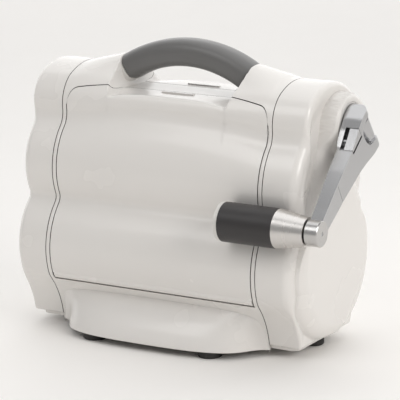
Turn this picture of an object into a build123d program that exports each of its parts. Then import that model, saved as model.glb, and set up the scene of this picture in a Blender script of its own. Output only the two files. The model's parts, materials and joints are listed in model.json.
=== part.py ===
"""Portable roller die cutting machine: lobed plastic body, two fold-down doors, folding crank.

Frame: X across the machine (crank on +X), Y front to back (front is -Y), Z up.
The origin is the middle of the base, on the surface that the feet stand on. Millimetres.
"""
from build123d import *
import math
import os

os.makedirs("parts", exist_ok=True)

# Body: three-lobed outline, the same front and back
BODY_TOP = 256.2
BODY_BOTTOM = 11.5
WALL = 3.0
SEAM_X = 113.8           # centre section ends here
SEAM_GAP = 0.6
END_X = 151.0            # outer face of the end shells
END_WALL = 6.0
END_ROUND = 9.0
VALLEY_ROUND = 3.0
RELIEF = 0.3

# Carry handle, an arc standing on the body top
HANDLE_ARC_Z = 150.0
HANDLE_RADIUS = 122.5
HANDLE_DEEP = 33.0
HANDLE_THICK = 27.0
GRIP_ANGLE = 32.0
POST_ANGLE = 48.0
SCOOP_HALF = 62.0        # finger scoop under the handle
SCOOP_Z = 236.0

# Doors
DOOR_HALF = 108.8
DOOR_TOP = 234.8
DOOR_CORNER = 10.0
DOOR_GAP = 0.5
DOOR_CUT_Y = 43.0        # the opening is cut outwards from here
FLANGE_Y = 17.0          # a door's top flange reaches in to here across the scoop
FLANGE_HALF = 61.0
DOOR_TOP_Y = 47.25       # outer surface of the body at the door's top edge
DOOR_AXIS_Y = 73.5
DOOR_AXIS_Z = 60.0
BEAD_RADIUS = 6.2
LIP_Z = 54.6
LIP_COVE = 7.4
LATCH_Y = 27.0           # finger slot in the flange, with the latch under it
LATCH_HALF = 6.5
LATCH_THICK = 2.5
LATCH_STOP_Y = 41.3      # rib that the latch springs push against
SLOT_LENGTH = 36.0
SLOT_WIDTH = 9.0
SPRING_X = 14.0
HINGE_PIN = 3.0
HINGE_PIN_LENGTH = 14.0
PLATFORM_Y = 55.0        # inner face of the fold-down platform
PLATFORM_THICK = 2.5

# Frame and rollers
FRAME_X = 117.0
FRAME_THICK = 3.0
FRAME_HALF_Y = 36.0
FRAME_TOP = 236.0
FRAME_BOTTOM = 15.0
ROLLER_RADIUS = 17.0
ROLLER_HALF = 90.0
SHAFT_RADIUS = 6.0
RUN_FIT = 0.05
BUSH_RADIUS = 9.0
MODULE = 2.0
ROLLER_TEETH = 26
PINION_TEETH = 15
IDLER_TEETH = 31
GEAR_X = 124.0
GEAR_THICK = 10.0
UPPER_Z = 114.0
LOWER_Z = UPPER_Z - MODULE * ROLLER_TEETH
DECK_Z = 78.0
GUARD_Y = 44.0

# Crank: hub on the right end, folding arm, turning grip
HUB_Y = 14.0
HUB_Z = 214.0
ARM_ANGLE = 51.7         # stowed arm, degrees forward of straight down
ARM_LENGTH = 128.7
HUB_BOSS_RADIUS = 28.0
HUB_BOSS_X = 163.5
ROTOR_RADIUS = 21.4
ROTOR_GAP = 0.9
ROTOR_X = 165.0
FOLD_X = 174.75
ARM_HALF = 9.25          # half thickness of the arm's head
FOLD_PIN_RADIUS = 4.0
BARREL_RADIUS = 8.0
EYE_RADIUS = 12.3
GRIP_RADIUS = 18.6
GRIP_INNER_X = 82.0
CONE_BIG_X = 140.5
CONE_SMALL_X = 169.8
CONE_SMALL_RADIUS = 13.6
SPINDLE_RADIUS = 4.0

# Base
SKIRT_HALF = 88.0
SKIRT_Y = 90.0
SKIRT_TOP = 43.0
BASE_Z = 6.5
FOOT_RADIUS = 11.5
FRONT_FOOT = (63.0, 77.0)
END_FOOT = (128.0, 8.0)

HUB = Vector(0, HUB_Y, HUB_Z)
ALONG = Vector(0, -math.sin(math.radians(ARM_ANGLE)), -math.cos(math.radians(ARM_ANGLE)))
ACROSS = Vector(0, math.cos(math.radians(ARM_ANGLE)), -math.sin(math.radians(ARM_ANGLE)))
EYE = HUB + ALONG * ARM_LENGTH


def write(part, label):
    """Name a finished piece and write it as a STEP file."""
    part.part.label = label
    export_step(part.part, f"parts/{label}.step")


def on_end(x, y=0.0, z=0.0):
    """Plane facing +X whose local axes are Y and Z, centred on (y, z)."""
    return Plane(origin=(x, y, z), x_dir=(0, 1, 0), z_dir=(1, 0, 0))


# --- Body outline -----------------------------------------------------------------------
# The front half is a crest arc, a shoulder, a short neck, two lobes and a hollow flare.
CREST_RADIUS = 73.8
CREST_HALF = 34.0
SHOULDER = (19.5, 220.1, 31.4)
NECK_HALF = 50.2
MIDDLE_LOBE = (12.7, 160.2, 57.8)
LOWER_LOBE = (22.5, 83.3, 61.3)
FLARE_CENTER = (136.4, -6.0)
FLARE_RADIUS = 85.2
FLARE_TOP = 52.0
FLARE_HALF = 72.5


def lobed_face(inset, round_valleys=False):
    """Outline of the body in local (Y, Z), drawn in from the true outline by an inset."""
    with BuildSketch() as face:
        crest_radius = CREST_RADIUS - inset
        crest_half = CREST_HALF * crest_radius / CREST_RADIUS
        crest_z = BODY_TOP - CREST_RADIUS
        edge_z = crest_z + math.sqrt(crest_radius**2 - crest_half**2)
        with BuildLine():
            cap = ThreePointArc(
                (-crest_half, edge_z), (0, BODY_TOP - inset), (crest_half, edge_z)
            )
            Polyline(cap @ 1, (crest_half, 200), (-crest_half, 200), cap @ 0)
        make_face()
        with Locations((0, 205)):
            Rectangle(2 * (NECK_HALF - inset), 30)
        with Locations((0, 125)):
            Rectangle(2 * 40, 180)
        for y, z, radius in (SHOULDER, MIDDLE_LOBE, LOWER_LOBE):
            with Locations((-y, z), (y, z)):
                Circle(radius - inset)
        low = BODY_BOTTOM + inset
        with Locations((0, (low + FLARE_TOP) / 2)):
            Rectangle(2 * (FLARE_HALF - inset), FLARE_TOP - low)
        with Locations((-FLARE_CENTER[0], FLARE_CENTER[1]), FLARE_CENTER):
            Circle(FLARE_RADIUS + inset, mode=Mode.SUBTRACT)
        if round_valleys:
            corners = face.vertices().filter_by(lambda v: abs(v.Y - 204.2) < 2 or abs(v.Y - 130) < 3)
            fillet(corners, VALLEY_ROUND)
    return face.sketch


outer_face = lobed_face(0, round_valleys=True)
inner_face = lobed_face(WALL)
rib_face = lobed_face(WALL + 0.05)
skin_face = lobed_face(-RELIEF / 2, round_valleys=True)

# The rounded outer edge of an end shell, as slices that follow a quarter circle
ROUND_STEPS = 5
round_slices = []
for step in range(ROUND_STEPS):
    turn = math.radians(90 * (step + 1) / (ROUND_STEPS + 1))
    next_turn = math.radians(90 * (step + 2) / (ROUND_STEPS + 1))
    inset = END_ROUND * (1 - math.cos(turn))
    reach = END_ROUND * (math.sin(next_turn) if step < ROUND_STEPS - 1 else 1)
    round_slices.append((lobed_face(inset), END_X - END_ROUND + reach))
straight_face_x = END_X - END_ROUND + END_ROUND * math.sin(math.radians(90 / (ROUND_STEPS + 1)))


def scoop(depth):
    """Finger scoop under the carry handle, cut down from above by a rounded block."""
    half = SCOOP_HALF + depth
    with BuildPart() as cutter:
        with BuildSketch(Plane.XZ.offset(-100)):
            with BuildLine():
                low = SCOOP_Z - depth
                Polyline((-half - 14, 300), (-half, low), (half, low), (half + 14, 300), close=True)
            make_face()
        extrude(amount=200)
    return cutter.part


screw_places = [(x, y) for x in (-136, 136) for y in (-30, 30)]

# --- Base tray, feet ----------------------------------------------------------------------
with BuildPart() as base_tray:
    with BuildSketch(Plane.XY.offset(BASE_Z + 1.5)):
        RectangleRounded(2 * 141, 2 * 49, 8)
    extrude(amount=BODY_BOTTOM - BASE_Z - 1.5)
    with BuildSketch(Plane.XY.offset(BASE_Z)):
        with Locations(*screw_places):
            Circle(1.5)
    extrude(amount=10, mode=Mode.SUBTRACT)
write(base_tray, "base_tray")


def make_skirt(side, name):
    """Hollow skirt that stands out under a door and spreads the feet."""
    with BuildPart() as skirt:
        with BuildSketch(Plane.YZ.offset(-SKIRT_HALF)):
            with BuildLine():
                Polyline(
                    (side * 49.5, BASE_Z),
                    (side * SKIRT_Y, BASE_Z),
                    (side * SKIRT_Y, 12),
                    (side * 86, 20),
                    (side * 77, 34),
                    (side * 68, SKIRT_TOP),
                    (side * 49.5, SKIRT_TOP),
                    close=True,
                )
            make_face()
            add(skin_face, mode=Mode.SUBTRACT)
        extrude(amount=2 * SKIRT_HALF)
        with BuildSketch(Plane.YZ.offset(-SKIRT_HALF + WALL)):
            with BuildLine():
                Polyline(
                    (side * 56, BASE_Z),
                    (side * (SKIRT_Y - WALL), BASE_Z),
                    (side * (SKIRT_Y - WALL), 12),
                    (side * 83, 19),
                    (side * 74.5, 31),
                    (side * 69, 36),
                    close=True,
                )
            make_face()
        extrude(amount=2 * (SKIRT_HALF - WALL), mode=Mode.SUBTRACT)
        for x in (-FRONT_FOOT[0], FRONT_FOOT[0]):
            with BuildSketch(Plane.XY.offset(BASE_Z)):
                with Locations((x, side * FRONT_FOOT[1])):
                    Circle(7)
                    Circle(1.6, mode=Mode.SUBTRACT)
            extrude(amount=12)
    write(skirt, name)


make_skirt(-1, "front_skirt")
make_skirt(1, "rear_skirt")

foot_places = [(x * FRONT_FOOT[0], y * FRONT_FOOT[1], BASE_Z) for x in (-1, 1) for y in (-1, 1)]
foot_places += [(x * END_FOOT[0], END_FOOT[1], BASE_Z + 1.5) for x in (-1, 1)]

with BuildPart() as rubber_feet:
    for x, y, top in foot_places:
        with BuildSketch():
            with Locations((x, y)):
                Circle(FOOT_RADIUS - 1)
        extrude(amount=1)
        with BuildSketch(Plane.XY.offset(1)):
            with Locations((x, y)):
                Circle(FOOT_RADIUS)
        extrude(amount=top - 1)
        with BuildSketch():
            with Locations((x, y)):
                Circle(4)
        extrude(amount=2.5, mode=Mode.SUBTRACT)
        with BuildSketch():
            with Locations((x, y)):
                Circle(1.6)
        extrude(amount=top, mode=Mode.SUBTRACT)
write(rubber_feet, "rubber_feet")

with BuildPart() as foot_screws:
    for x, y, top in foot_places:
        with BuildSketch(Plane.XY.offset(0.8)):
            with Locations((x, y)):
                Circle(3.6)
        extrude(amount=1.7)
        with BuildSketch(Plane.XY.offset(2.5)):
            with Locations((x, y)):
                Circle(1.55)
        extrude(amount=top - 2.5 + (0 if top > BASE_Z else 8))
write(foot_screws, "foot_screws")

# --- End shells ---------------------------------------------------------------------------
END_LENGTH = END_X - SEAM_X - SEAM_GAP

with BuildPart() as left_end_shell:
    with BuildSketch(Plane.YZ.offset(-SEAM_X - SEAM_GAP)):
        add(outer_face)
    extrude(amount=-(straight_face_x - SEAM_X - SEAM_GAP))
    for face, reach in round_slices:
        with BuildSketch(Plane.YZ.offset(-SEAM_X - SEAM_GAP)):
            add(face)
        extrude(amount=-(reach - SEAM_X - SEAM_GAP))
    with BuildSketch(Plane.YZ.offset(-END_X + END_WALL)):
        add(inner_face)
    extrude(amount=END_LENGTH, mode=Mode.SUBTRACT)
write(left_end_shell, "left_end_shell")

with BuildPart() as right_end_shell:
    with BuildSketch(Plane.YZ.offset(SEAM_X + SEAM_GAP)):
        add(outer_face)
    extrude(amount=straight_face_x - SEAM_X - SEAM_GAP)
    for face, reach in round_slices:
        with BuildSketch(Plane.YZ.offset(SEAM_X + SEAM_GAP)):
            add(face)
        extrude(amount=reach - SEAM_X - SEAM_GAP)
    with BuildSketch(on_end(END_X - 8)):
        with Locations((0, 88)):
            Circle(76)
        with Locations((8, 190)):
            Circle(34)
        make_hull()
        add(lobed_face(7), mode=Mode.INTERSECT)
    extrude(amount=13)
    with BuildSketch(on_end(END_X - 8)):
        with Locations((0, 88)):
            Circle(70)
    extrude(amount=15)
    with BuildSketch(on_end(END_X - 8, HUB_Y, HUB_Z)):
        Circle(HUB_BOSS_RADIUS)
    extrude(amount=HUB_BOSS_X - END_X + 8)
    with BuildSketch(Plane.YZ.offset(SEAM_X + SEAM_GAP)):
        add(inner_face)
    extrude(amount=END_LENGTH - END_WALL, mode=Mode.SUBTRACT)
    with BuildSketch(on_end(HUB_BOSS_X - 6.5, HUB_Y, HUB_Z)):
        Circle(ROTOR_RADIUS + ROTOR_GAP)
    extrude(amount=20, mode=Mode.SUBTRACT)
    with BuildSketch(on_end(130, HUB_Y, HUB_Z)):
        Circle(SHAFT_RADIUS + 0.6)
    extrude(amount=40, mode=Mode.SUBTRACT)
write(right_end_shell, "right_end_shell")

# --- Centre shell -------------------------------------------------------------------------
with BuildPart() as center_shell:
    with BuildSketch(Plane.YZ.offset(-SEAM_X)):
        add(outer_face)
    extrude(amount=2 * SEAM_X)
    add(scoop(0), mode=Mode.SUBTRACT)
    with BuildPart(mode=Mode.PRIVATE) as center_core:
        with BuildSketch(Plane.YZ.offset(-SEAM_X - 1)):
            add(inner_face)
        extrude(amount=2 * SEAM_X + 2)
        add(scoop(WALL), mode=Mode.SUBTRACT)
    add(center_core.part, mode=Mode.SUBTRACT)
    for side in (-1, 1):
        with BuildSketch(Plane.XZ.offset(-side * DOOR_CUT_Y)):
            with BuildLine():
                Polyline(
                    (-DOOR_HALF - DOOR_GAP, LIP_Z),
                    (DOOR_HALF + DOOR_GAP, LIP_Z),
                    (DOOR_HALF + DOOR_GAP, DOOR_TOP + DOOR_GAP),
                    (-DOOR_HALF - DOOR_GAP, DOOR_TOP + DOOR_GAP),
                    close=True,
                )
            face = make_face()
            fillet(face.vertices().group_by(Axis.Y)[-1], DOOR_CORNER)
        extrude(amount=-side * 100, mode=Mode.SUBTRACT)
        with BuildSketch(on_end(-DOOR_HALF - DOOR_GAP, side * DOOR_AXIS_Y, DOOR_AXIS_Z)):
            Circle(LIP_COVE)
        extrude(amount=2 * (DOOR_HALF + DOOR_GAP), mode=Mode.SUBTRACT)
    for side in (-1, 1):
        for end in (-1, 1):
            ear = Plane.YZ.offset(end * (DOOR_HALF + DOOR_GAP))
            with BuildSketch(ear):
                with Locations((side * 71, 58)):
                    Rectangle(9, 14)
                add(inner_face, mode=Mode.INTERSECT)
                with Locations((side * DOOR_AXIS_Y, DOOR_AXIS_Z)):
                    Circle(HINGE_PIN / 2, mode=Mode.SUBTRACT)
            extrude(amount=end * (SEAM_X - DOOR_HALF - DOOR_GAP))
            with BuildSketch(ear):
                with Locations((side * DOOR_AXIS_Y, DOOR_AXIS_Z)):
                    Circle(HINGE_PIN / 2)
            extrude(amount=end * (SEAM_X - DOOR_HALF - DOOR_GAP), mode=Mode.SUBTRACT)
        with BuildSketch(Plane.XY.offset(SCOOP_Z - 2 * WALL)):
            with Locations((0, side * (FLANGE_Y + 50))):
                Rectangle(2 * FLANGE_HALF + 2 * DOOR_GAP, 100)
        extrude(amount=3 * WALL, mode=Mode.SUBTRACT)
write(center_shell, "center_shell")

with BuildPart() as hinge_pins:
    for side in (-1, 1):
        for end in (-1, 1):
            with BuildSketch(on_end(end * SEAM_X, side * DOOR_AXIS_Y, DOOR_AXIS_Z)):
                Circle(HINGE_PIN / 2)
            extrude(amount=-end * HINGE_PIN_LENGTH)
write(hinge_pins, "hinge_pins")


# --- Doors --------------------------------------------------------------------------------
# The top edge is an arc about the hinge, so that it clears the body as the door swings out.
DOOR_SWEEP = math.hypot(DOOR_AXIS_Y - DOOR_TOP_Y, DOOR_TOP - DOOR_AXIS_Z)


def make_door(side, name):
    """Lobed door panel with a round hinge bead and a flat inner platform on ribs."""
    with BuildPart() as panel:
        with BuildSketch(Plane.YZ.offset(-DOOR_HALF)):
            add(outer_face)
            add(inner_face, mode=Mode.SUBTRACT)
        extrude(amount=2 * DOOR_HALF)
        with BuildSketch(Plane.XZ):
            with BuildLine():
                Polyline(
                    (-DOOR_HALF, DOOR_AXIS_Z),
                    (DOOR_HALF, DOOR_AXIS_Z),
                    (DOOR_HALF, DOOR_TOP),
                    (-DOOR_HALF, DOOR_TOP),
                    close=True,
                )
            face = make_face()
            fillet(face.vertices().group_by(Axis.Y)[-1], DOOR_CORNER)
        extrude(amount=-side * 100, mode=Mode.INTERSECT)
        with BuildSketch(on_end(-DOOR_HALF, side * DOOR_AXIS_Y, DOOR_AXIS_Z)):
            Circle(DOOR_SWEEP)
        extrude(amount=2 * DOOR_HALF, mode=Mode.INTERSECT)
        with BuildSketch(Plane.YZ.offset(-FLANGE_HALF)):
            with Locations((side * (FLANGE_Y + DOOR_GAP + 25), SCOOP_Z - WALL / 2)):
                Rectangle(50, WALL)
            add(outer_face, mode=Mode.INTERSECT)
        extrude(amount=2 * FLANGE_HALF)
        with BuildSketch(Plane.XY.offset(SCOOP_Z - WALL - 4)):
            with Locations((0, side * (LATCH_STOP_Y + 1))):
                Rectangle(2 * SPRING_X + 20, 2)
        extrude(amount=4.5)
        with BuildSketch(Plane.XY.offset(SCOOP_Z - 5)):
            with Locations((0, side * LATCH_Y)):
                Rectangle(SLOT_LENGTH, SLOT_WIDTH)
        extrude(amount=10, mode=Mode.SUBTRACT)
        with BuildSketch(on_end(-DOOR_HALF, side * DOOR_AXIS_Y, DOOR_AXIS_Z)):
            Circle(BEAD_RADIUS)
        extrude(amount=2 * DOOR_HALF)
        for end in (-1, 1):
            with BuildSketch(on_end(end * DOOR_HALF, side * DOOR_AXIS_Y, DOOR_AXIS_Z)):
                Circle(HINGE_PIN / 2 + RUN_FIT)
            extrude(amount=-end * 12, mode=Mode.SUBTRACT)
    write(panel, f"{name}_panel")

    with BuildPart() as platform:
        with BuildSketch(Plane.XZ.offset(-side * PLATFORM_Y)):
            with Locations((0, (66 + 188) / 2)):
                RectangleRounded(2 * 104, 188 - 66, 4)
        extrude(amount=-side * PLATFORM_THICK)
        for x in (-100, -50, 0, 50, 100):
            with BuildSketch(Plane.YZ.offset(x - 1.25)):
                with Locations((side * (PLATFORM_Y + 15.5), 127)):
                    Rectangle(31, 118)
                add(rib_face, mode=Mode.INTERSECT)
            extrude(amount=2.5)
    write(platform, f"{name}_platform")


make_door(-1, "front_door")
make_door(1, "rear_door")

# --- Latches ------------------------------------------------------------------------------

def make_latch(side, name):
    """Finger latch: a slide under a door's flange with a ridge standing up through the slot."""
    slide_top = SCOOP_Z - WALL - 0.4
    with BuildPart() as latch:
        with BuildSketch(Plane.XY.offset(slide_top - LATCH_THICK)):
            with Locations((0, side * LATCH_Y)):
                RectangleRounded(44, 2 * LATCH_HALF, 2)
        extrude(amount=LATCH_THICK)
        with BuildSketch(Plane.XY.offset(slide_top - 0.6)):
            with Locations((0, side * (LATCH_Y - 1.9))):
                Rectangle(SLOT_LENGTH - 2, 3)
        extrude(amount=5.2)
    write(latch, name)

    with BuildPart() as springs:
        with BuildSketch(Plane.XZ.offset(-side * LATCH_STOP_Y)):
            with Locations((-SPRING_X, slide_top - 1.25), (SPRING_X, slide_top - 1.25)):
                Circle(1.2)
        extrude(amount=side * (LATCH_STOP_Y - LATCH_Y - LATCH_HALF - 0.1))
    write(springs, f"{name}_springs")


make_latch(-1, "front_latch")
make_latch(1, "rear_latch")


# --- Carry handle -------------------------------------------------------------------------
def arch(plane_radial, plane_deep, start, end):
    """Elliptical bar bent along the handle arc between two angles from the vertical."""
    section = Plane(origin=(0, 0, HANDLE_ARC_Z), x_dir=(0, 1, 0), z_dir=(1, 0, 0))
    turned = section.rotated((0, start, 0))
    with BuildPart() as bar:
        with BuildSketch(turned):
            with Locations((0, HANDLE_RADIUS)):
                Ellipse(plane_deep / 2, plane_radial / 2)
        revolve(axis=Axis((0, 0, HANDLE_ARC_Z), (0, 1, 0)), revolution_arc=end - start)
    return bar.part


with BuildPart() as body_solid:
    with BuildSketch(Plane.YZ.offset(-SEAM_X)):
        add(skin_face)
    extrude(amount=2 * SEAM_X)
    add(scoop(-RELIEF / 2), mode=Mode.SUBTRACT)

with BuildPart() as handle_core:
    add(arch(HANDLE_THICK - 8, HANDLE_DEEP - 8, -POST_ANGLE, POST_ANGLE))
    for side in (-1, 1):
        low, high = sorted((side * (GRIP_ANGLE + 1.8), side * POST_ANGLE))
        add(arch(HANDLE_THICK, HANDLE_DEEP, low, high))
    add(body_solid.part, mode=Mode.SUBTRACT)
    handle_pieces = handle_core.part.solids().sort_by(SortBy.VOLUME)
    add(handle_pieces[-1], mode=Mode.REPLACE)
write(handle_core, "handle_core")

with BuildPart() as handle_grip:
    add(arch(HANDLE_THICK, HANDLE_DEEP, -GRIP_ANGLE, GRIP_ANGLE))
    add(arch(HANDLE_THICK - 8, HANDLE_DEEP - 8, -GRIP_ANGLE - 1, GRIP_ANGLE + 1), mode=Mode.SUBTRACT)
write(handle_grip, "handle_grip")

with BuildPart() as handle_collars:
    for side in (-1, 1):
        low, high = sorted((side * (GRIP_ANGLE + 0.2), side * (GRIP_ANGLE + 1.6)))
        add(arch(HANDLE_THICK - 1, HANDLE_DEEP - 1, low, high))
    add(arch(HANDLE_THICK - 8, HANDLE_DEEP - 8, -40, 40), mode=Mode.SUBTRACT)
    add(body_solid.part, mode=Mode.SUBTRACT)
write(handle_collars, "handle_collars")


# --- Frame plates, deck, guards -----------------------------------------------------------
def gear_distance(teeth_a, teeth_b):
    """Centre distance of two gears in mesh."""
    return MODULE * (teeth_a + teeth_b) / 2


reach_hub = gear_distance(PINION_TEETH, IDLER_TEETH)
reach_roller = gear_distance(IDLER_TEETH, ROLLER_TEETH)
line_length = math.hypot(HUB_Y, HUB_Z - UPPER_Z)
along_line = (reach_roller**2 - reach_hub**2 + line_length**2) / (2 * line_length)
off_line = math.sqrt(reach_roller**2 - along_line**2)
line_y = HUB_Y / line_length
line_z = (HUB_Z - UPPER_Z) / line_length
IDLER_Y = along_line * line_y - off_line * line_z
IDLER_Z = UPPER_Z + along_line * line_z + off_line * line_y

rod_places = [(-28, 28), (28, 28), (-26, 214), (28, 150)]


def make_frame(side, name):
    """Steel side plate that carries the rollers, the gears and the crank shaft."""
    with BuildPart() as plate:
        with BuildSketch(Plane.YZ.offset(side * FRAME_X)):
            with Locations((0, (FRAME_TOP + FRAME_BOTTOM) / 2)):
                RectangleRounded(2 * FRAME_HALF_Y, FRAME_TOP - FRAME_BOTTOM, 8)
            with Locations((0, UPPER_Z), (0, LOWER_Z)):
                Circle(BUSH_RADIUS, mode=Mode.SUBTRACT)
            with Locations(*rod_places):
                Circle(3, mode=Mode.SUBTRACT)
            if side > 0:
                with Locations((HUB_Y, HUB_Z)):
                    Circle(BUSH_RADIUS, mode=Mode.SUBTRACT)
                with Locations((IDLER_Y, IDLER_Z)):
                    Circle(4, mode=Mode.SUBTRACT)
        extrude(amount=side * FRAME_THICK)
    write(plate, name)


make_frame(-1, "left_side_frame")
make_frame(1, "right_side_frame")

with BuildPart() as tie_rods:
    for y, z in rod_places:
        with BuildSketch(Plane.YZ.offset(-FRAME_X)):
            with Locations((y, z)):
                Circle(5)
        extrude(amount=2 * FRAME_X)
        with BuildSketch(Plane.YZ.offset(-FRAME_X - 7)):
            with Locations((y, z)):
                Circle(3)
        extrude(amount=2 * FRAME_X + 14)
write(tie_rods, "tie_rods")

with BuildPart() as tie_rod_nuts:
    for y, z in rod_places:
        for side in (-1, 1):
            with BuildSketch(Plane.YZ.offset(side * (FRAME_X + FRAME_THICK))):
                with Locations((y, z)):
                    RegularPolygon(5, 6)
                    Circle(3, mode=Mode.SUBTRACT)
            extrude(amount=side * 3.5)
write(tie_rod_nuts, "tie_rod_nuts")

with BuildPart() as deck_plate:
    with BuildSketch(Plane.XY.offset(DECK_Z - 2.5)):
        RectangleRounded(2 * 106, 2 * 52, 3)
        Rectangle(2 * (ROLLER_HALF + 3), 2 * (ROLLER_RADIUS + 2), mode=Mode.SUBTRACT)
    extrude(amount=2.5)
    for side in (-1, 1):
        for edge in (-1, 1):
            with BuildSketch(Plane.XY.offset(DECK_Z - 14)):
                with Locations((side * (FRAME_X - 6.5), edge * 29)):
                    Rectangle(13, 10)
            extrude(amount=14)
write(deck_plate, "deck_plate")


def make_guard(side, name):
    """Inner wall above the feed slot that hides the gears and the upper roller."""
    with BuildPart() as guard:
        with BuildSketch(Plane.XZ.offset(-side * GUARD_Y)):
            with Locations((0, (100 + 226) / 2)):
                RectangleRounded(2 * 108, 226 - 100, 4)
        extrude(amount=side * 2)
        for x in (-110.6, 110.6):
            with BuildSketch(Plane.XY.offset(150)):
                with Locations((x, side * (GUARD_Y - 5))):
                    Rectangle(12.6, 8)
            extrude(amount=30)
    write(guard, name)


make_guard(-1, "front_guard")
make_guard(1, "rear_guard")

with BuildPart() as roller_bushes:
    for side in (-1, 1):
        for z in (UPPER_Z, LOWER_Z):
            with BuildSketch(Plane.YZ.offset(side * (FRAME_X - 1.5))):
                with Locations((0, z)):
                    Circle(BUSH_RADIUS + 2)
                    Circle(SHAFT_RADIUS + RUN_FIT, mode=Mode.SUBTRACT)
            extrude(amount=side * 1.5)
            with BuildSketch(Plane.YZ.offset(side * FRAME_X)):
                with Locations((0, z)):
                    Circle(BUSH_RADIUS)
                    Circle(SHAFT_RADIUS + RUN_FIT, mode=Mode.SUBTRACT)
            extrude(amount=side * FRAME_THICK)
write(roller_bushes, "roller_bushes")

with BuildPart() as crank_bush:
    with BuildSketch(on_end(FRAME_X - 1.5, HUB_Y, HUB_Z)):
        Circle(BUSH_RADIUS + 2)
        Circle(SHAFT_RADIUS + RUN_FIT, mode=Mode.SUBTRACT)
    extrude(amount=1.5)
    with BuildSketch(on_end(FRAME_X, HUB_Y, HUB_Z)):
        Circle(BUSH_RADIUS)
        Circle(SHAFT_RADIUS + RUN_FIT, mode=Mode.SUBTRACT)
    extrude(amount=FRAME_THICK)
write(crank_bush, "crank_bush")


# --- Rollers and gears --------------------------------------------------------------------
def make_roller(z, name):
    """Steel pressure roller turned in one piece with its journals."""
    with BuildPart() as roller:
        with BuildSketch(Plane.YZ.offset(-ROLLER_HALF)):
            with Locations((0, z)):
                Circle(ROLLER_RADIUS)
        extrude(amount=2 * ROLLER_HALF)
        with BuildSketch(Plane.YZ.offset(-FRAME_X - 5)):
            with Locations((0, z)):
                Circle(SHAFT_RADIUS)
        extrude(amount=FRAME_X + 5 + GEAR_X + GEAR_THICK + 2)
    write(roller, name)


make_roller(UPPER_Z, "upper_roller")
make_roller(LOWER_Z, "lower_roller")


def involute_point(base_radius, radius):
    """Angle that an involute has turned through when it reaches a radius."""
    pressure = math.acos(min(1.0, base_radius / radius))
    return math.tan(pressure) - pressure


def make_gear(teeth, y, z, tooth_angle, bore, name):
    """Involute spur gear, one tooth centred on tooth_angle, with a little backlash."""
    pitch_radius = MODULE * teeth / 2
    base_radius = pitch_radius * math.cos(math.radians(20))
    tip_radius = pitch_radius + MODULE * 0.9
    root_radius = pitch_radius - MODULE * 1.25
    start_radius = max(base_radius, root_radius + 0.3)
    half_pitch = math.pi / (2 * teeth) - 0.16 / pitch_radius
    half_base = half_pitch + involute_point(base_radius, pitch_radius)
    flank = []
    steps = 5
    for step in range(steps + 1):
        radius = start_radius + (tip_radius - start_radius) * step / steps
        flank.append((radius, half_base - involute_point(base_radius, radius)))
    foot = (root_radius - 0.5, flank[0][1])
    side = [foot] + flank
    points = [(r * math.cos(a), r * math.sin(a)) for r, a in side]
    points += [(r * math.cos(a), -r * math.sin(a)) for r, a in reversed(side)]
    with BuildPart() as gear:
        with BuildSketch(on_end(GEAR_X, y, z)):
            Circle(root_radius)
            with PolarLocations(0, teeth, start_angle=tooth_angle):
                Polygon(*points, align=None)
            Circle(bore, mode=Mode.SUBTRACT)
        extrude(amount=GEAR_THICK)
    write(gear, name)


def meshing_angle(teeth_a, angle_a, center_a, teeth_b, center_b):
    """Tooth angle of gear b that puts one of its spaces on a tooth of gear a."""
    radius_a = MODULE * teeth_a / 2
    radius_b = MODULE * teeth_b / 2
    line = math.atan2(center_b[1] - center_a[1], center_b[0] - center_a[0])
    offset_a = math.radians(angle_a) - line
    offset_b = -(radius_a * offset_a + math.pi * MODULE / 2) / radius_b
    return math.degrees(line + math.pi + offset_b)


pinion_angle = -90.0
idler_angle = meshing_angle(
    PINION_TEETH, pinion_angle, (HUB_Y, HUB_Z), IDLER_TEETH, (IDLER_Y, IDLER_Z)
)
upper_angle = meshing_angle(
    IDLER_TEETH, idler_angle, (IDLER_Y, IDLER_Z), ROLLER_TEETH, (0, UPPER_Z)
)
lower_angle = meshing_angle(ROLLER_TEETH, upper_angle, (0, UPPER_Z), ROLLER_TEETH, (0, LOWER_Z))

make_gear(PINION_TEETH, HUB_Y, HUB_Z, pinion_angle, SHAFT_RADIUS, "pinion")
make_gear(IDLER_TEETH, IDLER_Y, IDLER_Z, idler_angle, 4 + RUN_FIT, "idler_gear")
make_gear(ROLLER_TEETH, 0, UPPER_Z, upper_angle, SHAFT_RADIUS, "upper_roller_gear")
make_gear(ROLLER_TEETH, 0, LOWER_Z, lower_angle, SHAFT_RADIUS, "lower_roller_gear")

with BuildPart() as idler_pin:
    with BuildSketch(on_end(FRAME_X, IDLER_Y, IDLER_Z)):
        Circle(4)
    extrude(amount=GEAR_X + GEAR_THICK + 3 - FRAME_X)
    with BuildSketch(on_end(FRAME_X + FRAME_THICK, IDLER_Y, IDLER_Z)):
        Circle(7)
    extrude(amount=GEAR_X - 0.5 - FRAME_X - FRAME_THICK)
write(idler_pin, "idler_pin")

with BuildPart() as idler_clip:
    with BuildSketch(on_end(GEAR_X + GEAR_THICK + 0.6, IDLER_Y, IDLER_Z)):
        Circle(7)
        Circle(4, mode=Mode.SUBTRACT)
    extrude(amount=1.2)
write(idler_clip, "idler_clip")

# --- Crank hub ----------------------------------------------------------------------------
with BuildPart() as crank_shaft:
    with BuildSketch(on_end(FRAME_X - 6, HUB_Y, HUB_Z)):
        Circle(SHAFT_RADIUS)
    extrude(amount=ROTOR_X - 7 - FRAME_X + 6)
write(crank_shaft, "crank_shaft")

side_plane = Plane(origin=(FOLD_X, HUB_Y, HUB_Z), x_dir=ALONG, z_dir=(1, 0, 0))
pin_plane = Plane(origin=(FOLD_X, HUB_Y, HUB_Z), x_dir=ALONG, z_dir=ACROSS)

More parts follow.
